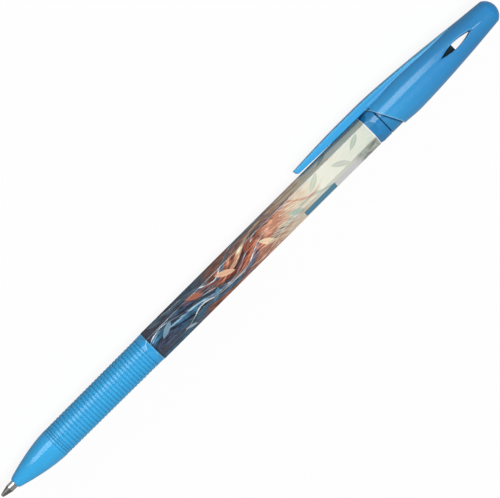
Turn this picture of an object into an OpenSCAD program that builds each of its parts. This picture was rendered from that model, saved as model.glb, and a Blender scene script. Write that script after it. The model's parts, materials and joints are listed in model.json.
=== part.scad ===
// Stick ballpoint pen with a ribbed grip, a six-sided printed barrel and its cap pushed on behind.
// The pieces are drawn along +Z from the writing tip at Z = 0, with the clip towards +X.
// The whole pen is then laid on its side as it comes to rest: on the grip, the cap and the clip's edge.

/* [Writing point] */
// Diameter of the rolling ball
ball_d = 0.7; // [0.5:0.1:0.9]
// Diameter of the metal point's straight neck
neck_d = 2.0; // [1.8:0.05:2.2]
// Length from the ball's front to the end of the metal cone
cone_l = 2.6; // [2.2:0.1:3.2]
// Bare length of the neck between cone and nose
neck_l = 1.6; // [1.2:0.1:2.4]
// Length of the metal shank hidden in the nose
shank_l = 8.3; // [7:0.1:10]

/* [Refill] */
// Outer diameter of the ink tube
tube_d = 3.0; // [2.8:0.05:3.2]
// Wall of the ink tube
tube_wall = 0.4; // [0.3:0.05:0.5]
// Length of the whole refill, from the ball to the open end of its tube
refill_l = 140; // [138:0.5:140.5]
// Empty length of the tube behind the ink
ink_free_l = 18; // [12:1:90]
// Outer diameter of the plastic holder that joins point and tube
holder_d = 3.16; // [3.0:0.02:3.3]
// Length of the holder's wide part
holder_l = 5.5; // [4.5:0.1:6.5]
// Length of the holder's stem inside the tube
stem_l = 4.8; // [3:0.1:6]
// Distance from the nose's rim to the holder
holder_at = 3.4; // [2.8:0.1:4.5]

/* [Nose and grip] */
// Diameter of the nose at its rim
rim_d = 2.7; // [2.6:0.05:3.0]
// Length of the curved nose
nose_l = 12.9; // [11.5:0.1:15]
// Diameter of the grip sleeve at its front
grip_front_d = 7.52; // [7.3:0.02:7.7]
// Diameter of the grip sleeve at its rear
grip_rear_d = 7.82; // [7.7:0.02:7.9]
// Length of the grip sleeve
grip_l = 29.4; // [26:0.1:32]
// Diameter of the barrel core under the grip sleeve
core_d = 6.0; // [5.7:0.05:6.3]
// Plain band at the front of the sleeve, up to the first full rib groove
grip_band_l = 1.97; // [1.6:0.05:2.6]
// Distance between rib grooves
rib_pitch = 0.95; // [0.85:0.05:1.2]
// Width of one rib groove at the surface
groove_w = 0.3; // [0.2:0.05:0.6]
// Depth of one rib groove
groove_depth = 0.12; // [0.08:0.01:0.2]
// Distance between the fine lines in the band at the sleeve's front
fine_pitch = 0.6; // [0.5:0.05:0.8]

/* [Barrel] */
// Width of the barrel across its corners, print included
across_corners = 8.0; // [7.8:0.05:8.1]
// Width of the barrel across its flats, print included
across_flats = 6.94; // [6.85:0.02:7.1]
// Length of the collar in which the flats run out behind the grip
collar_l = 2.1; // [1.8:0.1:3]
// Thickness of the printed film
film_t = 0.05; // [0.04:0.01:0.08]
// Diameter of the round ring behind the print
ring_d = 8.24; // [8.18:0.02:8.3]
// Length of the ring, run-out of the flats included
ring_l = 3.3; // [3:0.1:5]
// Diameter of the long bore for the refill
bore_d = 4.2; // [3.8:0.05:4.5]
// Diameter of the tail that carries the cap, at its front
tail_d = 7.08; // [7.0:0.02:7.12]
// Narrowing of the tail over its length, on the diameter
tail_draft = 0.26; // [0.1:0.02:0.4]
// Length of the tail, end plug included
tail_l = 23.3; // [21:0.1:24]
// Length of the end plug's head
plug_head_l = 4.5; // [3.6:0.1:5]
// Length of the end plug's stem inside the barrel
plug_stem_l = 4.5; // [3:0.1:6]
// Floor under the socket that takes the end of the ink tube
plug_floor = 0.35; // [0.3:0.05:1]
// Diameter of the air hole in the end plug
vent_d = 0.8; // [0.6:0.1:1.2]

/* [Cap] */
// Length of the cap from its mouth to the top of its dome
cap_l = 37.0; // [35:0.1:40]
// Diameter of the cap's raised body at its lip
lip_d = 9.0; // [8.96:0.02:9.2]
// Largest diameter of the cap's body
bulge_d = 9.62; // [9.4:0.02:9.9]
// Distance from the mouth to the largest diameter
bulge_at = 8.3; // [6.5:0.1:9]
// Distance from the mouth to where the body begins to swell
swell_at = 2.9; // [1.5:0.1:4]
// Diameter of the cap at the edge of its dome
dome_d = 6.04; // [5.8:0.02:6.2]
// Radius of the dome
dome_r = 3.4; // [3.2:0.05:4.5]
// Slant of the lip, from square across the pen
lip_slant = 28.4; // [20:0.2:32]
// Distance from the mouth to where the slanted lip crosses the pen's axis
lip_at = 1.25; // [0.8:0.05:2]
// Wall of the cap at its dome
dome_wall = 1.8; // [1.2:0.1:2.4]
// Wall of the cap beside the edge of its dome
dome_side_wall = 0.82; // [0.7:0.02:1.1]

/* [Clip] */
// Length of the clip in front of the cap's mouth
clip_l = 22.5; // [20:0.1:26]
// Height of the clip's top above the pen's axis
clip_h = 6.18; // [6.0:0.02:6.4]
// Width of the clip on the cap
clip_w = 4.6; // [4.2:0.1:5]
// Width of the clip at its tip
clip_tip_w = 3.5; // [3:0.1:4]
// Rise of the clip's underside towards its tip
clip_flare = 0.25; // [0.1:0.05:0.4]
// Length over which the clip's top drops towards its tip
clip_drop_l = 14.8; // [10:0.1:18]
// Drop of the clip's top towards its tip
clip_drop = 0.5; // [0.3:0.05:0.7]
// Length of the ridge that carries the clip into the cap
ridge_l = 29.9; // [26:0.1:31]
// Length over which the ridge keeps the clip's width
ridge_even_l = 16.9; // [12:0.1:20]
// Radius of the rounded lower corner at the clip's tip
tip_round = 0.9; // [0.5:0.05:1.0]

/* [Window] */
// Length of the pointed slot through the cap
slot_l = 9.5; // [7:0.1:11]
// Width of the pointed slot
slot_w = 1.5; // [1.1:0.05:1.9]
// Distance from the mouth to the middle of the slot
slot_at = 24.05; // [22:0.05:26]
// Length of the shallow hollow around the slot
hollow_l = 14; // [12:0.1:15]
// Depth of the hollow
hollow_depth = 0.5; // [0.3:0.05:0.6]
// Width of the hollow
hollow_w = 2.3; // [2:0.05:2.8]

/* [Fits] */
// Gap between pieces that are pushed together for good
seat_gap = 0.02; // [0.01:0.01:0.04]
// Gap all round between tail and cap
slip_gap = 0.04; // [0.02:0.01:0.06]
// Gap all round between ball and socket
ball_gap = 0.015; // [0.01:0.005:0.025]
// Open joint between ring and cap
seam_gap = 0.1; // [0.05:0.05:0.2]
// Gap between the ring and what passes over it
ring_gap = 0.12; // [0.08:0.01:0.2]
// Gap between the ring and the root of the clip
clip_gap = 0.32; // [0.25:0.01:0.45]
// Bevel on the edges at the seam
seam_bevel = 0.12; // [0.05:0.01:0.2]

/* [Hidden] */
$fn = 64;

blue = [0.26, 0.63, 0.87];
grip_blue = [0.24, 0.6, 0.83];

// A cut reaches this far past the surface that it opens.
over = 1;
// Steps along a curved outline.
steps = 18;

// Play at the end of a socket or a stepped bore.
step_gap = 0.05;

// Stations along the pen: the front half builds up from the tip, the rear half seats on the refill's
// end, and the printed stretch takes up what is left between them.
nose_z = cone_l + neck_l;
grip_z = nose_z + nose_l;
collar_z = grip_z + grip_l;
print_z = collar_z + collar_l;
socket_end_z = refill_l + step_gap;
plug_z = socket_end_z + plug_floor;
tail_end_z = plug_z + plug_head_l;
tail_z = tail_end_z - tail_l;
ring_z = tail_z - ring_l;
print_l = ring_z - print_z;
mouth_z = tail_z + seam_gap;
pen_l = mouth_z + cap_l;

// The barrel's outside.
front_r = grip_front_d / 2;
rear_r = grip_rear_d / 2;
corner_r = across_corners / 2;
flat_r = across_flats / 2;
ring_r = ring_d / 2;
nose_power = 1.6;
rim_round = 0.25;
runout_front_l = 1.4;
runout_rear_l = 1.8;
ring_swell_l = 0.9;

// The inside, from the nose back.
holder_z = nose_z + holder_at;
holder_pocket_l = holder_l + 2.8;
shank_end_z = nose_z + shank_l;
holder_rear_z = holder_z + holder_l;
stem_end_z = holder_rear_z + stem_l;
tube_bore_r = tube_d / 2 - tube_wall;

// The tail narrows evenly, and so does the cap's bore over it.
function tail_r(z) = (tail_d - tail_draft * (z - tail_z) / tail_l) / 2;

// The cap's outside: an even lip, a swelling and a long fall to the dome.
dome_z = pen_l - dome_r + sqrt(pow(dome_r, 2) - pow(dome_d / 2, 2));
bulge_z = mouth_z + bulge_at;
slot_z = mouth_z + slot_at;
swell_z = mouth_z + swell_at;
fall_power = 1.5;
function ease(v) = v * v * (3 - 2 * v);
function cap_r(z) =
    z <= swell_z ? lip_d / 2 :
    z <= bulge_z ? lip_d / 2 + (bulge_d - lip_d) / 2 * ease((z - swell_z) / (bulge_z - swell_z)) :
    bulge_d / 2 - (bulge_d - dome_d) / 2 * pow((z - bulge_z) / (dome_z - bulge_z), fall_power);

// The clip's top: a low rise from the tip, a level stretch and a long fall into the cap.
under_r = ring_r + clip_gap;
clip_tip_z = mouth_z - clip_l;
clip_high_z = clip_tip_z + clip_drop_l;
clip_fall_at = 1.5;
clip_fall_z = mouth_z - clip_fall_at;
ridge_end_z = mouth_z + ridge_l;
rise_power = 1.75;
ridge_power = 1.4;
ridge_sink = 0.04;
ridge_end_r = cap_r(ridge_end_z) - ridge_sink;
function clip_r(z) =
    z < clip_high_z ? clip_h - clip_drop * pow((clip_high_z - z) / clip_drop_l, rise_power) :
    z <= clip_fall_z ? clip_h :
    clip_h - (clip_h - ridge_end_r) * pow((z - clip_fall_z) / (ridge_end_z - clip_fall_z), ridge_power);

// The clip's half width: it widens to the cap and runs to a point at the end of the ridge.
ridge_narrow_z = mouth_z + ridge_even_l;
function clip_half_w(z) =
    z < mouth_z ? (clip_tip_w + (clip_w - clip_tip_w) * sin(90 * (z - clip_tip_z) / clip_l)) / 2 :
    z < ridge_narrow_z ? clip_w / 2 :
    clip_w / 2 * cos(85 * (z - ridge_narrow_z) / (ridge_end_z - ridge_narrow_z));

function stations(a, b, n = steps) = [for (i = [0 : n]) a + (b - a) * i / n];

// How the pen lies: its grip and its cap on the table, and the clip's edge turned down to it.
pitch = atan((bulge_d / 2 - front_r) / (bulge_z - grip_z));
function rest_r(z) = front_r + (z - grip_z) * tan(pitch);
clip_edge_a = asin(clip_half_w(clip_high_z) / clip_h);
clip_from_down = acos(rest_r(clip_high_z) / clip_h) + clip_edge_a;
clip_wide_a = asin(clip_w / 2 / clip_h);
clip_reach = clip_h * cos(90 - clip_from_down - clip_wide_a);
axis_h = rest_r(pen_l / 2) * cos(pitch);

// Lays a piece that is drawn along +Z down on the table, tip towards +X.
module lay_down() {
    translate([0, (clip_reach - bulge_d / 2) / 2, axis_h])
        rotate([0, pitch, 0])
            rotate([0, -90, 0])
                rotate([0, 0, clip_from_down - 180])
                    translate([0, 0, -pen_l / 2])
                        children();
}

// Extrudes an outline of [towards the clip, along the pen] across the pen.
module across(width) {
    rotate([90, 0, 0])
        linear_extrude(height = width, center = true)
            children();
}

// Extrudes an outline of [across the pen, along the pen] towards the clip.
module towards_clip(height) {
    rotate([90, 0, 90])
        linear_extrude(height = height)
            children();
}

// Cuts the six flats of depth r, which run out in a ramp at both ends.
module flats(r) {
    front_slope = (corner_r - r) / runout_front_l;
    rear_slope = (ring_r - r) / runout_rear_l;
    for (i = [0 : 5])
        rotate([0, 0, 30 + 60 * i])
            across(across_corners)
                polygon([[r, print_z], [r, ring_z],
                         [ring_r + over, ring_z + (ring_r + over - r) / rear_slope],
                         [ring_r + over, print_z - (ring_r + over - r) / front_slope]]);
}

// Outline of the curved nose as [radius, station], from the rounded rim to the grip.
function nose_outline() = concat(
    [for (a = [-90 : 30 : 0]) [rim_d / 2 - rim_round * (1 - cos(a)), nose_z + rim_round * (1 + sin(a))]],
    [for (z = stations(nose_z + 2 * rim_round, grip_z))
        [rim_d / 2 + (front_r - rim_d / 2) * (1 - pow((grip_z - z) / nose_l, nose_power)), z]]);

module barrel() {
    color(blue) lay_down() difference() {
        rotate_extrude()
            polygon(concat(
                [[0, nose_z]], nose_outline(),
                [[core_d / 2, grip_z], [core_d / 2, collar_z],
                 [rear_r, collar_z], [corner_r - film_t, print_z],
                 [corner_r - film_t, ring_z], [ring_r, ring_z + ring_swell_l],
                 [ring_r, tail_z - seam_bevel], [ring_r - seam_bevel, tail_z],
                 [tail_r(tail_z), tail_z], [tail_r(plug_z), plug_z], [0, plug_z]]));
        flats(flat_r - film_t);
        // Hole for the neck, pocket for the holder and the long bore behind it.
        translate([0, 0, nose_z - over])
            cylinder(d = neck_d + 2 * seat_gap, h = holder_z - nose_z + 2 * over);
        translate([0, 0, holder_z - step_gap])
            cylinder(d = holder_d + 2 * seat_gap, h = holder_pocket_l);
        translate([0, 0, holder_z + holder_pocket_l - step_gap])
            cylinder(d = bore_d, h = plug_z - holder_z - holder_pocket_l + over);
    }
}

module grip_sleeve() {
    first_groove_z = grip_z + grip_band_l;
    end_band = 0.75;
    groove_n = floor((grip_l - grip_band_l - end_band) / rib_pitch) + 1;
    groove_r = (pow(groove_w / 2, 2) + pow(groove_depth, 2)) / (2 * groove_depth);
    fine_r = 0.16;
    function sleeve_r(z) = front_r + (rear_r - front_r) * (z - grip_z) / grip_l;
    color(grip_blue) lay_down() rotate_extrude() difference() {
        polygon([[core_d / 2 + seat_gap, grip_z + seat_gap],
                 [front_r - seam_bevel / 2, grip_z + seat_gap], [front_r, grip_z + seam_bevel],
                 [rear_r, collar_z - seam_bevel], [rear_r - seam_bevel / 2, collar_z - seat_gap],
                 [core_d / 2 + seat_gap, collar_z - seat_gap]]);
        for (i = [0 : groove_n - 1])
            let (z = first_groove_z + i * rib_pitch)
                translate([sleeve_r(z) + groove_r - groove_depth, z])
                    circle(r = groove_r);
        // Two fine lines in the band at the front.
        for (i = [1, 2])
            let (z = first_groove_z - i * fine_pitch)
                translate([sleeve_r(z) + fine_r / 3, z])
                    circle(r = fine_r);
    }
}

// A six-sided prism with rounded corners: r to the corners, flat to the faces.
module six_sided(r, flat, past) {
    translate([0, 0, print_z - past])
        intersection() {
            cylinder(r = r, h = print_l + 2 * past);
            cylinder(r = flat / cos(30), h = print_l + 2 * past, $fn = 6);
        }
}

module print_film() {
    color([0.86, 0.86, 0.82]) lay_down() difference() {
        six_sided(corner_r, flat_r, 0);
        six_sided(corner_r - film_t, flat_r - film_t, over);
    }
}

module end_plug() {
    color([0.1, 0.2, 0.25]) lay_down() difference() {
        rotate_extrude()
            polygon([[0, plug_z - plug_stem_l],
                     [bore_d / 2 - seat_gap, plug_z - plug_stem_l],
                     [bore_d / 2 - seat_gap, plug_z + seat_gap],
                     [tail_r(plug_z), plug_z + seat_gap], [tail_r(tail_end_z), tail_end_z - seam_bevel],
                     [tail_r(tail_end_z) - seam_bevel, tail_end_z], [0, tail_end_z]]);
        // Socket for the end of the ink tube, and the air hole behind it.
        translate([0, 0, plug_z - plug_stem_l - over])
            cylinder(d = tube_d + 2 * seat_gap, h = plug_stem_l - plug_floor + over);
        translate([0, 0, plug_z - over])
            cylinder(d = vent_d, h = plug_head_l + 2 * over);
    }
}

module refill_tube() {
    color([0.85, 0.88, 0.9]) lay_down() difference() {
        translate([0, 0, holder_rear_z + seat_gap])
            cylinder(d = tube_d, h = refill_l - holder_rear_z - seat_gap);
        translate([0, 0, holder_rear_z - over])
            cylinder(r = tube_bore_r, h = refill_l - holder_rear_z + 2 * over);
    }
}

module ink_column() {
    color([0.05, 0.08, 0.35]) lay_down()
        translate([0, 0, stem_end_z + seat_gap])
            cylinder(r = tube_bore_r - seat_gap / 2, h = refill_l - ink_free_l - stem_end_z);
}

module tip_holder() {
    lead = 0.25;
    color([0.9, 0.9, 0.92]) lay_down() difference() {
        rotate_extrude()
            polygon([[0, holder_z], [holder_d / 2 - lead, holder_z], [holder_d / 2, holder_z + lead],
                     [holder_d / 2, holder_rear_z], [tube_bore_r - seat_gap, holder_rear_z],
                     [tube_bore_r - seat_gap, stem_end_z - lead], [tube_bore_r - lead, stem_end_z],
                     [0, stem_end_z]]);
        translate([0, 0, holder_z - over])
            cylinder(d = neck_d + 2 * seat_gap, h = shank_end_z - holder_z + over + step_gap);
        translate([0, 0, shank_end_z])
            cylinder(r = tube_bore_r / 2, h = stem_end_z - shank_end_z + over);
    }
}

module point() {
    socket_lip_z = 0.2;
    socket_lip_r = ball_d / 2 + 0.06;
    socket_z = ball_d / 2;
    socket_r = ball_d / 2 + ball_gap;
    ink_hole_r = 0.15;
    feed_r = 0.6;
    feed_z = cone_l + feed_r;
    rear_bevel = 0.2;
    color([0.72, 0.72, 0.7]) lay_down() difference() {
        rotate_extrude()
            polygon([[0, socket_lip_z], [socket_lip_r, socket_lip_z], [neck_d / 2, cone_l],
                     [neck_d / 2, shank_end_z - rear_bevel], [neck_d / 2 - rear_bevel, shank_end_z],
                     [0, shank_end_z]]);
        translate([0, 0, socket_z])
            sphere(r = socket_r);
        cylinder(r = ink_hole_r, h = feed_z + over);
        translate([0, 0, feed_z])
            cylinder(r = feed_r, h = shank_end_z - feed_z + over);
    }
}

module writing_ball() {
    color([0.55, 0.56, 0.58]) lay_down()
        translate([0, 0, ball_d / 2])
            sphere(d = ball_d);
}

// Outside of the cap as a turned shape, dome included.
module cap_turned(from_z) {
    body_steps = 30;
    dome_steps = 10;
    dome_a = asin(dome_d / 2 / dome_r);
    rotate_extrude()
        polygon(concat(
            [[0, from_z]],
            [for (z = stations(from_z, dome_z, body_steps)) [cap_r(z), z]],
            [for (i = [1 : dome_steps])
                let (a = dome_a * (1 - i / dome_steps))
                    [dome_r * sin(a), pen_l - dome_r + dome_r * cos(a)]]));
}

// The raised body of the cap, cut along its slanted lip.
module cap_body() {
    far = 12;
    difference() {
        cap_turned(mouth_z - 2 * over);
        translate([0, 0, mouth_z + lip_at])
            rotate([0, lip_slant, 0])
                translate([-far, -far, -far])
                    cube([2 * far, 2 * far, far]);
    }
}

// The round sleeve that meets the ring, below the raised body.
module cap_sleeve() {
    rotate_extrude()
        polygon([[0, mouth_z], [ring_r - seam_bevel, mouth_z], [ring_r, mouth_z + seam_bevel],
                 [ring_r, bulge_z], [0, bulge_z]]);
}

// Clip and ridge: a crowned strip, concentric with the barrel above and below.
module clip() {
    top_steps = 26;
    intersection() {
        rotate_extrude()
            polygon(concat(
                [[0, clip_tip_z], [clip_r(clip_tip_z), clip_tip_z]],
                [for (z = stations(clip_tip_z, clip_high_z, 8)) if (z > clip_tip_z) [clip_r(z), z]],
                [for (z = stations(clip_fall_z, ridge_end_z, top_steps)) [clip_r(z), z]],
                [[0, ridge_end_z]]));
        towards_clip(clip_h + over)
            clip_plan();
        across(clip_w + over)
            clip_side();
    }
}

// Seen from above: a strip with rounded front corners that runs to a point behind.
module clip_plan() {
    corner = 0.6;
    half = [for (z = stations(clip_tip_z + corner, mouth_z, 8)) [clip_half_w(z), z]];
    rear = [for (z = stations(ridge_narrow_z, ridge_end_z, 8)) [clip_half_w(z), z]];
    round_front = [for (a = [0 : 30 : 60])
        [clip_half_w(clip_tip_z) - corner + corner * sin(a), clip_tip_z + corner - corner * cos(a)]];
    side = concat(round_front, half, rear);
    polygon(concat(side, [for (i = [len(side) - 1 : -1 : 0]) [-side[i][0], side[i][1]]]));
}

// Seen from the side: the blunt tip with its rounded lower corner.
module clip_side() {
    low = sqrt(pow(under_r + clip_flare, 2) - pow(clip_tip_w / 2, 2));
    lean = 0.15;
    polygon(concat(
        [[clip_h + over, clip_tip_z], [clip_h - clip_drop, clip_tip_z]],
        [for (a = [0 : 15 : 90])
            [low + tip_round * (1 - sin(a)), clip_tip_z + lean + tip_round * (1 - cos(a))]],
        [[0, clip_tip_z + lean + tip_round], [0, ridge_end_z], [clip_h + over, ridge_end_z]]));
}

// Everything inside the cap: the relief over the ring, the tapered bore and the blind end.
module cap_hollow() {
    relief_l = 1.6;
    bore_end_z = tail_end_z + 1.2;
    end_r = dome_d / 2 - dome_side_wall;
    end_z = pen_l - dome_wall;
    end_bevel = 0.8;
    lead = 0.15;
    rotate_extrude()
        polygon([[0, clip_tip_z - over],
                 [under_r + clip_flare * (1 + over / clip_l), clip_tip_z - over],
                 [under_r, mouth_z - relief_l],
                 [ring_r + ring_gap, mouth_z - relief_l], [ring_r + ring_gap, mouth_z],
                 [tail_r(tail_z) + slip_gap + lead, mouth_z],
                 [tail_r(mouth_z + lead) + slip_gap, mouth_z + lead],
                 [tail_r(bore_end_z) + slip_gap, bore_end_z],
                 [end_r, end_z - end_bevel], [end_r - end_bevel, end_z], [0, end_z]]);
}

// The pointed slot through both walls.
module slot() {
    arc_r = (pow(slot_l, 2) + pow(slot_w, 2)) / (4 * slot_w);
    across(3 * bulge_d)
        intersection_for (side = [-1, 1])
            translate([side * (arc_r - slot_w / 2), slot_z])
                circle(r = arc_r);
}

// The hollow on one face, cut as by a large V-edged wheel, so that a valley leads into the slot.
module hollow(side) {
    wheel_r = (pow(hollow_l / 2, 2) + pow(hollow_depth, 2)) / (2 * hollow_depth);
    edge = 2 * hollow_depth;
    face_slope = atan((cap_r(slot_z - hollow_l / 2) - cap_r(slot_z + hollow_l / 2)) / hollow_l);
    translate([0, side * (cap_r(slot_z) - hollow_depth), slot_z])
        rotate([side * face_slope, 0, 0])
            translate([0, side * wheel_r, 0])
                rotate([side * 90, 0, 0])
                    rotate([0, 90, 0])
                        rotate_extrude()
                            polygon([[wheel_r, 0],
                                     [wheel_r - edge, hollow_w], [wheel_r - edge, -hollow_w]]);
}

module cap() {
    color(blue) lay_down() difference() {
        union() {
            cap_body();
            cap_sleeve();
            clip();
        }
        cap_hollow();
        slot();
        hollow(-1);
        hollow(1);
    }
}

barrel();
grip_sleeve();
print_film();
end_plug();
refill_tube();
ink_column();
tip_holder();
point();
writing_ball();
cap();
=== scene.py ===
"""Looks of a stick ballpoint pen: materials, camera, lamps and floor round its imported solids."""
import json
import math

import bpy
from mathutils import Matrix, Vector

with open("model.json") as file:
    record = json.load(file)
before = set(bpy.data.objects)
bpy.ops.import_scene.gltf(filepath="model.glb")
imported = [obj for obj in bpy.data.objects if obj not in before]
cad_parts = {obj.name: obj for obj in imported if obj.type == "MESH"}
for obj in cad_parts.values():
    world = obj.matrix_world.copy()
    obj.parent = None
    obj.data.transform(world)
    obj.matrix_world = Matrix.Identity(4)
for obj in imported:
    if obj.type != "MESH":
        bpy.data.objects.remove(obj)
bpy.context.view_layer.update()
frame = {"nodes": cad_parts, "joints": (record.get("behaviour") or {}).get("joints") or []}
nodes = frame["nodes"]
joints = {joint["name"]: joint for joint in frame["joints"]}

# The pen's own axes: along it from the tip, towards the clip, and towards the face that the camera sees.
MM = 0.001
BALL_R = 0.35
CLIP_FROM_DOWN = math.radians(62.0665)
ASIDE = Vector((0, -1, 0))
ALONG = Vector(joints["cap_slide"]["axis"]).normalized()
CLIP = ASIDE.cross(ALONG) * math.cos(CLIP_FROM_DOWN) + ASIDE * math.sin(CLIP_FROM_DOWN)
FACE = ALONG.cross(CLIP)
TIP = Vector(joints["ball_roll"]["pos_m"]) - ALONG * (BALL_R * MM)


def span(name):
    """Where a piece starts and ends along the pen, in millimetres from the tip."""
    stations = [(vertex.co - TIP).dot(ALONG) / MM for vertex in nodes[name].data.vertices]
    return min(stations), max(stations)


# Point, grip and barrel. Lengths are in millimetres, and a name in Z is a distance from the tip.
PRINT_Z, RING_Z = span("print_film")
PRINT_L = RING_Z - PRINT_Z
CONE_Z = 2.6
COLLAR_L = 2.1
COLLAR_Z = PRINT_Z - COLLAR_L
RUNOUT_L = 1.4
GRIP_L = 29.4
GRIP_Z = COLLAR_Z - GRIP_L
FIRST_RIB_Z = GRIP_Z + 1.97
RIB_PITCH = 0.95
RIB_COUNT = 29
FINE_PITCH = 0.6
CORNER_R = 4.0
FLAT_TURN = math.pi / 3

# Cap and clip.
CLIP_TIP_Z, PEN_L = span("cap")
CLIP_L = 22.5
MOUTH_Z = CLIP_TIP_Z + CLIP_L
SEAM_GAP = 0.1
TAIL_Z = MOUTH_Z - SEAM_GAP
LIP_Z = MOUTH_Z + 1.25
LIP_SLANT = math.tan(math.radians(28.4))
BULGE_Z = MOUTH_Z + 8.3
BULGE_R = 4.81
BODY_FALL = 1.79
BODY_FALL_L = 26.9
BODY_POWER = 1.5
CLIP_H = 6.18
CLIP_UNDER_R = 4.44
CLIP_DROP = 0.5
CLIP_DROP_L = 14.8
CLIP_POWER = 1.75
RIDGE_Z = MOUTH_Z - 1.5
RIDGE_L = 31.4
RIDGE_SINK = 2.6
RIDGE_POWER = 1.4
SLOT_Z = MOUTH_Z + 24.05
SLOT_HALF_L = 4.75
SLOT_HALF_W = 0.75


def to_linear(level):
    if level <= 0.04045:
        return level / 12.92
    return ((level + 0.055) / 1.055) ** 2.4


def linear(tone):
    """Linear colour, with full alpha, of an sRGB one given in 0..255."""
    return (*(to_linear(level / 255) for level in tone), 1)


# Arithmetic and textures as shader nodes.
def put(value, socket):
    """Links a value to a socket, or sets the number or the colour in 0..255 that it is."""
    source = value.source if isinstance(value, Value) else value
    if isinstance(source, bpy.types.NodeSocket):
        socket.id_data.links.new(source, socket)
    elif isinstance(source, tuple):
        socket.default_value = linear(source)
    else:
        socket.default_value = source


class Value:
    """A number or colour in a shader, by its socket or as it is, with arithmetic that adds the nodes."""

    def __init__(self, tree, source):
        self.tree = tree
        self.source = source

    def calc(self, kind, *others, clamp=False):
        node = self.tree.nodes.new("ShaderNodeMath")
        node.operation = kind
        node.use_clamp = clamp
        for value, socket in zip((self, *others), node.inputs):
            put(value, socket)
        return Value(self.tree, node.outputs[0])

    def __add__(self, other):
        return self.calc("ADD", other)

    __radd__ = __add__

    def __sub__(self, other):
        return self.calc("SUBTRACT", other)

    def __rsub__(self, other):
        return Value(self.tree, other).calc("SUBTRACT", self)

    def __mul__(self, other):
        return self.calc("MULTIPLY", other)

    def __truediv__(self, other):
        return self.calc("DIVIDE", other)

    def __pow__(self, other):
        return self.calc("POWER", other)

    def __abs__(self):
        return self.calc("ABSOLUTE")

    def sin(self):
        return self.calc("SINE")

    def cos(self):
        return self.calc("COSINE")

    def root(self):
        return self.calc("SQRT")

    def at_least(self, other):
        return self.calc("MAXIMUM", other)

    def clamped(self):
        return self.calc("ADD", 0.0, clamp=True)

    def off_whole(self):
        """The distance to the nearest whole number."""
        return abs((self + 0.5).calc("FRACT") - 0.5)

    def outside(self, low, high):
        """How far the value lies outside a span, and 0 within it."""
        return (abs(self - (low + high) / 2) - (high - low) / 2).at_least(0.0)

    def past(self, start, length, power):
        """How far the value is past the start, as a share of the length, to a power; 0 before it."""
        return ((self - start) / length).at_least(0.0) ** power

    def step(self, start, end):
        """0 at the start and 1 at the end, and smooth between them."""
        node = self.tree.nodes.new("ShaderNodeMapRange")
        node.interpolation_type = "SMOOTHSTEP"
        for name, value in (("Value", self), ("From Min", start), ("From Max", end)):
            put(value, node.inputs[name])
        return Value(self.tree, node.outputs["Result"])

    def rise(self, edge, soft):
        """0 below the edge and 1 above it, over a width of soft."""
        return self.step(edge - soft / 2, edge + soft / 2)

    def fall(self, edge, soft):
        """1 below the edge and 0 above it, over a width of soft."""
        return self.step(edge + soft / 2, edge - soft / 2)

    def between(self, low, high, low_soft, high_soft):
        """1 from low to high, and 0 outside."""
        return self.rise(low, low_soft) * self.fall(high, high_soft)

    def near(self, middle, half, soft):
        """1 within half of the middle, and 0 farther off."""
        return abs(self - middle).fall(half, soft)

    def ramp(self, length, stops):
        """A colour that runs through the stops: each a place in 0..length and a colour."""
        node = self.tree.nodes.new("ShaderNodeValToRGB")
        elements = node.color_ramp.elements
        while len(elements) < len(stops):
            elements.new(0.5)
        for element, (place, tone) in zip(elements, stops):
            element.position = place / length
            element.color = linear(tone)
        put(self / length, node.inputs[0])
        return Value(self.tree, node.outputs[0])


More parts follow.
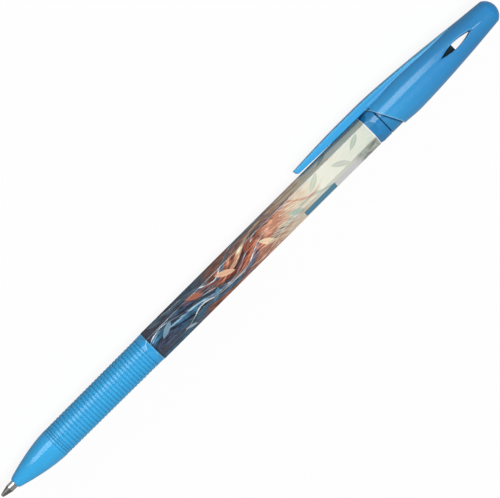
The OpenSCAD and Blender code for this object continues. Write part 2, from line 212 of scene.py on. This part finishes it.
class Finish:
    """A material in the pen's own millimetres: x towards the clip, y towards the face, z from the tip."""

    SOCKETS = {"color": "Base Color", "rough": "Roughness", "metal": "Metallic", "ior": "IOR",
               "spec": "Specular IOR Level", "clear": "Transmission Weight", "normal": "Normal"}

    def __init__(self, name):
        self.material = bpy.data.materials.new(name)
        self.material.use_nodes = True
        self.tree = self.material.node_tree
        self.shader = self.tree.nodes["Principled BSDF"]
        place = self.tree.nodes.new("ShaderNodeTexCoord").outputs["Object"]
        from_tip = self.vector_math("SUBTRACT", place, TIP).outputs["Vector"]
        self.x, self.y, self.z = (
            Value(self.tree, self.vector_math("DOT_PRODUCT", from_tip, axis / MM).outputs["Value"])
            for axis in (CLIP, FACE, ALONG))
        self.place = self.vector(self.x, self.y, self.z)

    def vector_math(self, kind, source, fixed):
        node = self.tree.nodes.new("ShaderNodeVectorMath")
        node.operation = kind
        put(source, node.inputs[0])
        node.inputs[1].default_value = fixed
        return node

    def vector(self, *parts):
        node = self.tree.nodes.new("ShaderNodeCombineXYZ")
        for part, socket in zip(parts, node.inputs):
            put(part, socket)
        return Value(self.tree, node.outputs[0])

    def turn(self):
        """The angle round the pen, from the middle of the face towards the clip."""
        return self.x.calc("ARCTAN2", self.y)

    def noise(self, place, scale, detail=2.0, rough=0.5, distort=0.0):
        node = self.tree.nodes.new("ShaderNodeTexNoise")
        for name, value in (("Vector", place), ("Scale", scale), ("Detail", detail), ("Roughness", rough),
                            ("Distortion", distort)):
            put(value, node.inputs[name])
        return Value(self.tree, node.outputs["Fac"])

    def bump(self, height, distance, normal=None):
        node = self.tree.nodes.new("ShaderNodeBump")
        put(height, node.inputs["Height"])
        node.inputs["Distance"].default_value = distance
        node.inputs["Strength"].default_value = 1.0
        if normal is not None:
            put(normal, node.inputs["Normal"])
        return Value(self.tree, node.outputs[0])

    def soft_edges(self, radius):
        """The surface's normal with its sharp edges rounded by a radius."""
        node = self.tree.nodes.new("ShaderNodeBevel")
        node.samples = 6
        node.inputs["Radius"].default_value = radius
        return Value(self.tree, node.outputs[0])

    def paint(self, color, amount, over, kind="MIX"):
        """The colour with another one laid over it by an amount."""
        node = self.tree.nodes.new("ShaderNodeMix")
        node.data_type = "RGBA"
        node.blend_type = kind
        put(amount, node.inputs[0])
        put(color, node.inputs[6])
        put(over, node.inputs[7])
        return Value(self.tree, node.outputs[2])

    def set(self, **values):
        for name, value in values.items():
            put(value, self.shader.inputs[self.SOCKETS[name]])


# The blue moulded pieces.
# The first blue is laid on as painted shade, the second as painted highlights.
SHADE_BLUE = (10, 62, 104)
HIGHLIGHT_BLUE = (150, 208, 240)


def moulded(name, stops, rough, painted_light, grain, spec=0.36):
    """Glossy moulded plastic whose colour runs slowly along the pen, with a piece's own painted shade and
    highlights on it.
    """
    m = Finish(name)
    wide = m.noise(m.place, 0.11)
    fine = m.noise(m.place, 1.7, 3.0, 0.55)
    speck = m.noise(m.place, 9.0, 2.0, 0.6)
    flow = m.noise(m.vector(m.x * 0.7, m.y * 0.7, m.z * 0.06), 1.0, 3.0)
    # The ramp's blues darken towards the rear on the barrel and the cap: painted shade.
    color = m.z.ramp(PEN_L, stops)
    color = m.paint(color, (wide - 0.4) * 0.3, (40, 156, 224))
    color = m.paint(color, (flow - 0.45) * 0.25, (20, 110, 190))
    color = m.paint(color, speck.rise(0.66, 0.1) * 0.05, (225, 240, 250))
    # Each piece's painted shade and painted highlights.
    color = painted_light(m, color)
    rough = rough + (fine - 0.5) * 0.08 + (flow - 0.5) * 0.06
    normal = m.bump(fine, 0.003 * MM * grain, m.soft_edges(0.14 * MM))
    normal = m.bump(flow, 0.01 * MM * grain, normal)
    m.set(color=color, rough=rough, normal=normal, ior=1.5, spec=spec)
    return m


def barrel_painted_light(m, color):
    """Painted shade in the seams, painted highlights on top of the ring and just before the print, and
    painted highlights along the arcs where the six flats run out into the collar.
    """
    # Each seam with painted shade: its station, half width and strength.
    for at, half, strength in ((GRIP_Z, 0.1, 0.1),
                               (COLLAR_Z, 0.12, 0.35),
                               (PRINT_Z, 0.1, 0.5),
                               (RING_Z, 0.12, 0.4),
                               (TAIL_Z, 0.14, 0.55)):
        color = m.paint(color, m.z.near(at, half, 0.12) * strength, SHADE_BLUE)
    # A painted highlight on the ring's top, towards the clip.
    ring_highlight = m.z.between(RING_Z, TAIL_Z - 0.3, 0.4, 0.2) * m.x.between(0.4, 1.9, 0.8, 0.6)
    color = m.paint(color, ring_highlight * 0.12, HIGHLIGHT_BLUE)
    # A painted highlight on the collar just in front of the print.
    color = m.paint(color, m.z.near(PRINT_Z - 0.16, 0.07, 0.08) * 0.5, HIGHLIGHT_BLUE)
    # Painted highlights along the arcs where the flats run out, strongest on the flat that faces the
    # camera.
    degrees = math.degrees(FLAT_TURN)
    from_flat = (m.turn() / FLAT_TURN).off_whole() * degrees
    arc = m.z.past(PRINT_Z - RUNOUT_L, RUNOUT_L, 0.5) * (degrees / 2)
    arc_highlight = from_flat.near(arc, 2.6, 3.0) * m.z.between(PRINT_Z - RUNOUT_L - 0.02, PRINT_Z, 0.04, 0.04)
    front = abs(m.turn()).fall(0.55, 0.04) * m.x.rise(0.2, 0.5)
    return m.paint(color, arc_highlight * (front * 0.65 + 0.12), HIGHLIGHT_BLUE)


def grip_painted_shade(m, color):
    """Painted shade in the rib grooves, in the two fine ones in front of them and at both ends of the
    sleeve.
    """
    from_groove = ((m.z - FIRST_RIB_Z) / RIB_PITCH).off_whole() * RIB_PITCH
    start = FIRST_RIB_Z - RIB_PITCH / 2
    ribbed = m.z.between(start, start + RIB_COUNT * RIB_PITCH, 0.02, 0.02)
    # Painted shade down each rib groove.
    color = m.paint(color, from_groove.fall(0.13, 0.12) * ribbed * 0.33, (2, 112, 165))
    for count in (1, 2):
        color = m.paint(color, m.z.near(FIRST_RIB_Z - count * FINE_PITCH, 0.1, 0.1) * 0.45, SHADE_BLUE)
    color = m.paint(color, m.z.near(GRIP_Z, 0.1, 0.1) * 0.1, SHADE_BLUE)
    return m.paint(color, m.z.near(COLLAR_Z, 0.12, 0.1) * 0.35, SHADE_BLUE)


def window_painted_light(m, color, out):
    """Painted shade on the window's walls, and painted highlights along the edges of the hollow round it.
    """
    from_slot = m.z - SLOT_Z
    # Painted shade on the window's inner walls.
    wall_shade = out.fall(-0.3, 0.25) * abs(m.x).fall(1.1, 0.2) * from_slot.between(-7.75, 5.85, 1.0, 0.4)
    color = m.paint(color, wall_shade * 0.85, (6, 22, 34))
    # A painted highlight along the window's upper edge, and another on the crease past its rear end.
    share = from_slot / SLOT_HALF_L
    rim = (1.0 - share * share) * SLOT_HALF_W
    edge = (m.x - rim).near(0.26, 0.1, 0.2) * from_slot.between(-1.75, 5.05, 2.0, 0.8)
    middle = (5.25 - from_slot) * 0.08 - 0.12
    crease_highlight = m.x.near(middle, 0.11, 0.14) * from_slot.between(5.15, 7.45, 0.4, 1.4)
    return m.paint(color, (edge * 0.3).at_least(crease_highlight * 0.6) * m.y.rise(1.0, 0.5), HIGHLIGHT_BLUE)


def clip_painted_light(m, color, r, out):
    """Painted light on the clip: its flanks paler than the cap and palest on top, with a painted highlight
    along its foot and painted shade along its lower edges.
    """
    flank = out.rise(0.1, 0.12)
    # The clip's flanks painted paler than the cap, as painted light.
    color = m.paint(color, flank * 0.22, (70, 176, 238))
    # A painted highlight along the foot of the flank near the mouth.
    foot_highlight = out.near(0.1, 0.07, 0.08) * m.x.rise(3.3, 0.3) * m.z.rise(MOUTH_Z, 1.0)
    color = m.paint(color, foot_highlight * 0.5, HIGHLIGHT_BLUE)
    drop = m.z.past(CLIP_TIP_Z + CLIP_DROP_L, -CLIP_DROP_L, CLIP_POWER) * CLIP_DROP
    sink = m.z.past(RIDGE_Z, RIDGE_L, RIDGE_POWER) * RIDGE_SINK
    # The clip's top painted paler still, as painted light.
    lit_top = (r + drop + sink).rise(CLIP_H - 0.42, 0.26) * flank
    color = m.paint(color, lit_top * (m.z.rise(BULGE_Z, 10.0) * 0.3 + 0.35), (84, 196, 250))
    # Painted shade along the clip's lower edges.
    under_shade = r.fall(CLIP_UNDER_R + 0.14, 0.12) * m.x.rise(3.2, 0.2)
    under_shade = under_shade * m.z.between(CLIP_TIP_Z + 6.8, MOUTH_Z - 0.1, 6.0, 0.1) * abs(m.y).rise(1.7, 0.2)
    return m.paint(color, under_shade * 0.8, (8, 40, 70))


def lip_painted_light(m, color, r):
    """Painted shade on the sleeve in front of the slanted lip, a painted shadow along the lip's foot and
    at the mouth, and a painted highlight on the lip's edge.
    """
    past_lip = m.z - LIP_Z + m.x * LIP_SLANT
    low = r.fall(4.3, 0.1)
    # Painted shade on the sleeve in front of the lip, then a painted shadow along the lip's foot.
    color = m.paint(color, past_lip.fall(0.0, 0.04) * low * 0.3, SHADE_BLUE)
    color = m.paint(color, past_lip.near(-0.2, 0.24, 0.16) * low * 0.8, SHADE_BLUE)
    # A painted highlight on the lip's edge.
    color = m.paint(color, past_lip.near(0.1, 0.1, 0.1) * r.fall(4.75, 0.1) * 0.6, HIGHLIGHT_BLUE)
    # Painted shade in the seam at the mouth.
    return m.paint(color, m.z.near(MOUTH_Z, 0.14, 0.12) * low * 0.6, SHADE_BLUE)


def cap_painted_light(m, color):
    """Painted shade and highlights, placed by how far a point stands out of the cap's turned body."""
    r = (m.x * m.x + m.y * m.y).root()
    body = BULGE_R - m.z.past(BULGE_Z, BODY_FALL_L, BODY_POWER) * BODY_FALL
    out = r - body
    color = window_painted_light(m, color, out)
    color = clip_painted_light(m, color, r, out)
    return lip_painted_light(m, color, r)


# The printed film.
class Film(Finish):
    """A material with u along the print and v round it, in millimetres."""

    def __init__(self, name):
        super().__init__(name)
        self.u = self.z - PRINT_Z
        self.v = self.turn() * CORNER_R


def fields(m):
    """Soft fields of colour that follow each other along the print, a little aslant."""
    drift = (m.noise(m.vector(m.u, m.v, 0.0), 0.16) - 0.5) * 9.0
    length = 70
    stops = [(0, (58, 60, 82)),
             (7, (62, 74, 98)),
             (12, (46, 80, 108)),
             (16, (88, 96, 110)),
             (19, (132, 82, 64)),
             (25, (160, 94, 70)),
             (31, (182, 116, 90)),
             (37, (198, 142, 116)),
             (43, (220, 196, 172)),
             (54, (238, 238, 224)),
             (length, (220, 226, 214))]
    return (m.u + m.v * -0.55 + drift).ramp(length, stops)


def wave(m, height, rate, phase, middle):
    """A line that swings round its middle as it runs along the print."""
    slow = (m.u * rate + phase).sin() * height
    quick = (m.u * (rate * 2.3) + phase * 1.7).sin() * (height * 0.35)
    return slow + quick + middle


def ribbons(m, color):
    """Ribbons that run along four waves."""
    one = wave(m, 1.9, 0.17, 0.4, -1.4)
    two = wave(m, 2.3, 0.13, 2.2, 1.2)
    three = wave(m, 1.5, 0.21, 4.4, -4.6)
    four = wave(m, 2.6, 0.19, 1.1, 3.6)
    # Each ribbon: its line, half width, softness, colour, start, end and strength.
    for line, half, soft, tone, start, end, strength in (
            (one - 0.95, 0.3, 0.4, (20, 28, 46), -9, 30, 0.8),
            (one, 0.7, 0.5, (58, 112, 148), -9, 32, 0.85),
            (one + 0.5, 0.2, 0.4, (120, 170, 198), -9, 30, 0.8),
            (one + 1.0, 0.12, 0.14, (206, 224, 234), -9, 36, 0.9),
            (two, 0.5, 0.4, (30, 36, 54), 4, 36, 0.85),
            (two - 0.8, 0.2, 0.2, (164, 190, 206), 6, 44, 0.8),
            (three, 0.85, 0.5, (52, 104, 134), -9, 28, 0.85),
            (three + 0.95, 0.2, 0.25, (24, 32, 48), -9, 30, 0.7),
            (three + 1.3, 0.14, 0.16, (228, 230, 224), 8, 50, 0.8),
            (four, 0.5, 0.4, (70, 118, 142), -9, 40, 0.7),
            (four + 0.7, 0.14, 0.16, (186, 204, 210), -9, 44, 0.8),
            (two + 1.2, 0.55, 0.5, (238, 216, 180), 26, 58, 0.75),
            (two + 1.9, 0.14, 0.2, (122, 70, 54), 24, 50, 0.7),
            (one + 2.4, 0.4, 0.4, (146, 70, 48), 12, 46, 0.7),
            (one - 1.6, 0.35, 0.3, (176, 194, 182), 36, 76, 0.6),
            (four - 1.6, 0.3, 0.3, (206, 158, 132), 22, 52, 0.7)):
        amount = m.v.near(line, half, soft) * m.u.between(start, end, 5.0, 6.0) * strength
        color = m.paint(color, amount, tone)
    return color


def streaks(m, color):
    """Fine streaks of light and dark along a slow wave, stronger in the front half."""
    swing = (m.u * 0.21 + 0.7).sin() * 1.6 + (m.u * 0.08).cos() * 1.2
    streak = m.noise(m.vector(m.u * 0.42, (m.v - swing) * 3.0, 3.1), 1.0, 3.0, 0.6)
    shade = ((streak - 0.5) * 3.2 + 0.47).clamped()
    return m.paint(color, m.u.fall(44.0, 20.0) * 0.75 + 0.12, shade, "OVERLAY")


def leaves(m, color):
    """Pointed leaves, fainter along the vein."""
    # Each leaf: its middle along and round the print, half length, half width, turn and colour.
    for u, v, length, width, turn, tone in (
            (5.0, 0.4, 2.4, 0.7, 28, (132, 166, 188)),
            (9.6, -4.2, 2.0, 0.6, -35, (186, 204, 214)),
            (14.5, 1.6, 2.6, 0.8, 150, (178, 108, 82)),
            (18.6, -2.4, 2.2, 0.7, 40, (92, 140, 168)),
            (23.4, 0.2, 2.7, 0.8, -28, (236, 196, 164)),
            (27.0, -4.4, 2.2, 0.7, 24, (120, 76, 66)),
            (31.5, 1.4, 2.4, 0.75, 35, (150, 84, 66)),
            (35.6, -1.8, 2.6, 0.8, -42, (244, 222, 190)),
            (40.2, 0.9, 2.2, 0.7, 30, (198, 140, 110)),
            (44.8, -1.6, 2.4, 0.7, -30, (176, 196, 186)),
            (52.0, 0.6, 2.6, 0.8, 32, (206, 214, 196)),
            (59.5, -0.8, 2.5, 0.75, -34, (200, 206, 196)),
            (65.0, 0.8, 2.2, 0.7, 28, (190, 200, 190)),
            (3.4, 4.6, 2.2, 0.7, -30, (96, 124, 140)),
            (20.8, 4.4, 2.4, 0.7, 30, (150, 100, 84)),
            (38.4, 4.6, 2.3, 0.7, -28, (168, 126, 108)),
            (57.0, 4.4, 2.3, 0.7, 32, (168, 184, 176))):
        du = m.u - u
        dv = m.v - v
        cos = math.cos(math.radians(turn))
        sin = math.sin(math.radians(turn))
        along = (du * cos + dv * sin) / length
        across = abs(dv * cos - du * sin)
        inside = ((1.0 - along * along) * width - across).rise(0.05, 0.14)
        vein = across.rise(0.05, 0.06) * 0.5 + 0.5
        color = m.paint(color, inside * vein * 0.9, tone)
    return color


def plate(m, color, u_span, v_span, corner, tone):
    """A plain patch with rounded corners."""
    du = m.u.outside(u_span[0] + corner, u_span[1] - corner)
    dv = m.v.outside(v_span[0] + corner, v_span[1] - corner)
    return m.paint(color, (du * du + dv * dv).root().fall(corner, 0.12), tone)


def mottling(m, color, grain):
    """Soft grey clouds in the pale rear of the print."""
    cloud = m.noise(m.place, 0.5, 1.0, 0.5, 0.4).rise(0.42, 0.5) * 0.75 + grain.rise(0.5, 0.5) * 0.35
    where = m.u.rise(63.6, 3.0) * (m.v + cloud).fall(-1.6, 1.0) * m.v.rise(-6.6, 0.8)
    return m.paint(color, cloud * where * 0.85, (84, 96, 92))


def film_painted_light(m, color):
    """Painted shade on the flat next to the clip and along its far corner, painted highlights on four
    corners, painted shade on the film's front cut end and a painted highlight on its rear one.
    """
    # Painted shade on the flat next to the clip, growing towards the rear.
    slanted_shade = m.v.between(2.12, 6.28, 0.1, 0.1) * m.u.rise(24.0, 20.0)
    color = m.paint(color, slanted_shade * 0.18, (44, 112, 122))
    # Painted shade along that flat's far corner, towards the clip.
    color = m.paint(color, m.v.between(5.85, 6.7, 0.5, 0.5) * 0.4, (20, 28, 34))
    # Each corner: its number of half flats from the face's middle, and the strength of its painted
    # highlight.
    for side, strength in ((-3, 0.06), (-1, 0.06), (1, 0.6), (3, 0.06)):
        corner = side * FLAT_TURN / 2 * CORNER_R
        glint = (m.noise(m.vector(m.u * 0.16, m.v * 0.3, side * 3.0), 1.0) - 0.3) * 2.2
        color = m.paint(color, m.v.near(corner, 0.13, 0.14) * glint.clamped() * strength, (206, 226, 234))
    # Painted shade on the film's front cut end.
    color = m.paint(color, m.u.near(0.28, 0.2, 0.16) * 0.65, (16, 26, 44))
    # A painted highlight on the film's rear cut end.
    return m.paint(color, m.u.rise(PRINT_L - 0.28, 0.14) * 0.9, (240, 244, 246))


def printed():
    m = Film("printed_film")
    grain = m.noise(m.place, 6.0, 3.0, 0.6)
    color = fields(m)
    color = ribbons(m, color)
    color = streaks(m, color)
    color = leaves(m, color)
    color = plate(m, color, (45.9, 55.6), (-6.1, -3.7), 0.15, (84, 146, 176))
    color = plate(m, color, (55.9, 64.6), (-6.1, -3.6), 0.8, (226, 226, 226))
    color = m.paint(color, (grain - 0.5) * 0.5 + 0.5, (168, 168, 168), "OVERLAY")
    color = mottling(m, color, grain)
    color = film_painted_light(m, color)
    normal = m.bump(m.noise(m.place, 0.9), 0.008 * MM, m.soft_edges(0.16 * MM))
    m.set(color=color, rough=0.17 + (grain - 0.5) * 0.1, normal=normal, ior=1.48, spec=0.4)
    return m


# The small parts.
def metal(name, tone, rough, turned):
    """Bare metal. A turned piece has fine rings round it, and its cone is darker and more blurred."""
    m = Finish(name)
    fine = m.noise(m.place, 5.0, 3.0, 0.6)
    rings = m.noise(m.vector(m.x * 0.4, m.y * 0.4, m.z * 22.0), 1.0, 2.0, 0.6)
    bright = tuple(level * 1.2 for level in tone)
    color = m.paint(tone, (fine - 0.3) * 0.4, bright)
    rough = rough + (rings - 0.5) * 0.1
    if turned:
        cone = m.z.fall(CONE_Z, 0.2)
        color = m.paint(color, cone * 0.66, (70, 70, 71))
        rough = rough + cone * 0.2
        normal = m.bump(rings, 0.004 * MM)
    else:
        normal = m.bump(fine, 0.001 * MM)
    m.set(color=color, metal=1.0, rough=rough, normal=normal)
    return m


def plain(name, tone, other, rough, spec=0.4, clear=0.0):
    """Plastic or ink whose colour wavers between two tones."""
    m = Finish(name)
    soft = m.noise(m.place, 0.5, 3.0)
    fine = m.noise(m.place, 3.5)
    color = m.paint(tone, (soft - 0.3) * 0.8, other)
    normal = m.bump(fine, 0.006 * MM)
    m.set(color=color, rough=rough + (fine - 0.5) * 0.1, normal=normal, ior=1.5, spec=spec, clear=clear)
    return m


# The blues along each piece: stations from the tip and colours. The barrel and the cap darken towards the
# rear as painted shade.
BARREL_BLUES_AND_SHADE = [(4, (58, 178, 239)),
                (17, (56, 175, 236)),
                (48, (52, 164, 226)),
                (116, (42, 134, 193)),
                (122, (38, 128, 188)),
                (146, (30, 110, 168))]
CAP_BLUES_AND_SHADE = [(99, (60, 168, 230)),
             (118, (58, 164, 226)),
             (124, (56, 155, 214)),
             (140, (50, 143, 204)),
             (150, (48, 133, 191)),
             (156, (46, 136, 195)),
             (158.7, (14, 138, 206))]
GRIP_BLUES = [(17, (63, 174, 231)),
              (47, (60, 172, 229))]

finishes = {
    "barrel": moulded("barrel_plastic", BARREL_BLUES_AND_SHADE, 0.13, barrel_painted_light, 0.5),
    "cap": moulded("cap_plastic", CAP_BLUES_AND_SHADE, 0.14, cap_painted_light, 0.5),
    "grip_sleeve": moulded("grip_rubber", GRIP_BLUES, 0.25, grip_painted_shade, 0.35, spec=0.26),
    "print_film": printed(),
    "point": metal("point_metal", (184, 182, 179), 0.17, turned=True),
    "writing_ball": metal("ball_metal", (118, 119, 121), 0.14, turned=False),
    "end_plug": plain("plug_plastic", (2, 21, 27), (5, 30, 39), 0.4, spec=0.16),
    "refill_tube": plain("tube_plastic", (214, 222, 228), (224, 230, 234), 0.4, clear=0.5),
    "ink_column": plain("ink", (14, 20, 70), (18, 26, 84), 0.12),
    "tip_holder": plain("holder_plastic", (228, 228, 232), (238, 238, 240), 0.4),
}
for name, finish in finishes.items():
    slots = nodes[name].data.materials
    slots.clear()
    slots.append(finish.material)

# Camera, square to the face and turned as in the photograph.
PHOTO_W = 500
PIXELS_PER_MM = 4.384
ROLL = math.radians(44.86)
DISTANCE = 0.730
SENSOR = 36.0
AIM = TIP + ALONG * (79.9 * MM) + CLIP * (0.035 * MM)
scene = bpy.context.scene


def placed(eye, right, up, back):
    """The matrix of a camera or lamp that stands at eye and looks away from back."""
    return Matrix.Translation(eye) @ Matrix((right, up, back)).transposed().to_4x4()


camera_data = bpy.data.cameras.new("camera")
camera_data.sensor_fit = "HORIZONTAL"
camera_data.sensor_width = SENSOR
camera_data.lens = SENSOR * DISTANCE / (PHOTO_W / PIXELS_PER_MM * MM)
camera_data.clip_start = 0.01
camera_data.clip_end = 20.0
camera = bpy.data.objects.new("camera", camera_data)
right = ALONG * math.cos(ROLL) - CLIP * math.sin(ROLL)
up = ALONG * math.sin(ROLL) + CLIP * math.cos(ROLL)
camera.matrix_world = placed(AIM + FACE * DISTANCE, right, up, FACE)
scene.collection.objects.link(camera)
scene.camera = camera


# Light and floor.
def lamp(name, turn, distance, across, length, radiance, along=0.0, gloss=True, matt=True, tint=(1, 1, 1)):
    """An area lamp that lies along the pen, turned from the camera towards the clip's side."""
    angle = math.radians(turn)
    offset = (FACE * math.cos(angle) + CLIP * math.sin(angle)) * distance + ALONG * along
    back = offset.normalized()
    up = back.cross(ALONG).normalized()
    data = bpy.data.lights.new(name, "AREA")
    data.shape = "RECTANGLE"
    data.size = length
    data.size_y = across
    data.energy = radiance * math.pi * across * length
    data.color = tint
    light = bpy.data.objects.new(name, data)
    light.matrix_world = placed(AIM + offset, up.cross(back), up, back)
    light.visible_camera = False
    light.visible_glossy = gloss
    light.visible_diffuse = matt
    scene.collection.objects.link(light)


def seen(tree, gloss):
    """1 for rays from the camera or through something clear, gloss for reflections, and 0 for light."""
    path = tree.nodes.new("ShaderNodeLightPath")
    through = Value(tree, path.outputs["Is Transmission Ray"])
    reflected = Value(tree, path.outputs["Is Glossy Ray"]) * gloss
    return Value(tree, path.outputs["Is Camera Ray"]).at_least(through).at_least(reflected)


# The strip gives the highlight along the pen, and the other two give the light itself.
lamp("strip", 27.7, 0.80, 0.50, 0.70, 5.6, along=-0.12, matt=False, tint=(0.88, 1.0, 1.0))
lamp("key", -25.0, 1.30, 0.75, 0.90, 6.4, along=0.2, gloss=False)
lamp("fill", 42.0, 1.00, 0.30, 0.70, 4.2, gloss=False)

# The world is white to the eye and dim as a light.
WORLD_GLOSS = 0.33
WORLD_LIGHT = 0.2
world = bpy.data.worlds.new("world")
world.use_nodes = True
tree = world.node_tree
tree.nodes.clear()
sky = tree.nodes.new("ShaderNodeBackground")
put((255, 255, 255), sky.inputs["Color"])
put(seen(tree, WORLD_GLOSS) * (1 - WORLD_LIGHT) + WORLD_LIGHT, sky.inputs["Strength"])
put(sky.outputs[0], tree.nodes.new("ShaderNodeOutputWorld").inputs[0])
scene.world = world

# The floor is nearly white to the eye, keeps the pen's shadow and throws little light back.
FLOOR_HALF = 3.0
FLOOR_GLOSS = 0.2
FLOOR_TONE = 0.26
FLOOR_SEEN = 0.92
floor_mesh = bpy.data.meshes.new("floor")
corners = [(-FLOOR_HALF, -FLOOR_HALF, 0),
           (FLOOR_HALF, -FLOOR_HALF, 0),
           (FLOOR_HALF, FLOOR_HALF, 0),
           (-FLOOR_HALF, FLOOR_HALF, 0)]
floor_mesh.from_pydata(corners, [], [(0, 1, 2, 3)])
floor = bpy.data.objects.new("floor", floor_mesh)
scene.collection.objects.link(floor)
floor_paper = bpy.data.materials.new("floor")
floor_paper.use_nodes = True
tree = floor_paper.node_tree
tree.nodes.clear()
in_view = seen(tree, FLOOR_GLOSS)
pale = tree.nodes.new("ShaderNodeBsdfDiffuse")
put(in_view * (FLOOR_SEEN - FLOOR_TONE) + FLOOR_TONE, pale.inputs["Color"])
glow = tree.nodes.new("ShaderNodeEmission")
put((255, 255, 255), glow.inputs["Color"])
put(1.0, glow.inputs["Strength"])
both = tree.nodes.new("ShaderNodeMixShader")
put(in_view * FLOOR_SEEN, both.inputs[0])
put(pale.outputs[0], both.inputs[1])
put(glow.outputs[0], both.inputs[2])
put(both.outputs[0], tree.nodes.new("ShaderNodeOutputMaterial").inputs[0])
floor_mesh.materials.append(floor_paper)

scene.view_settings.view_transform = "Standard"
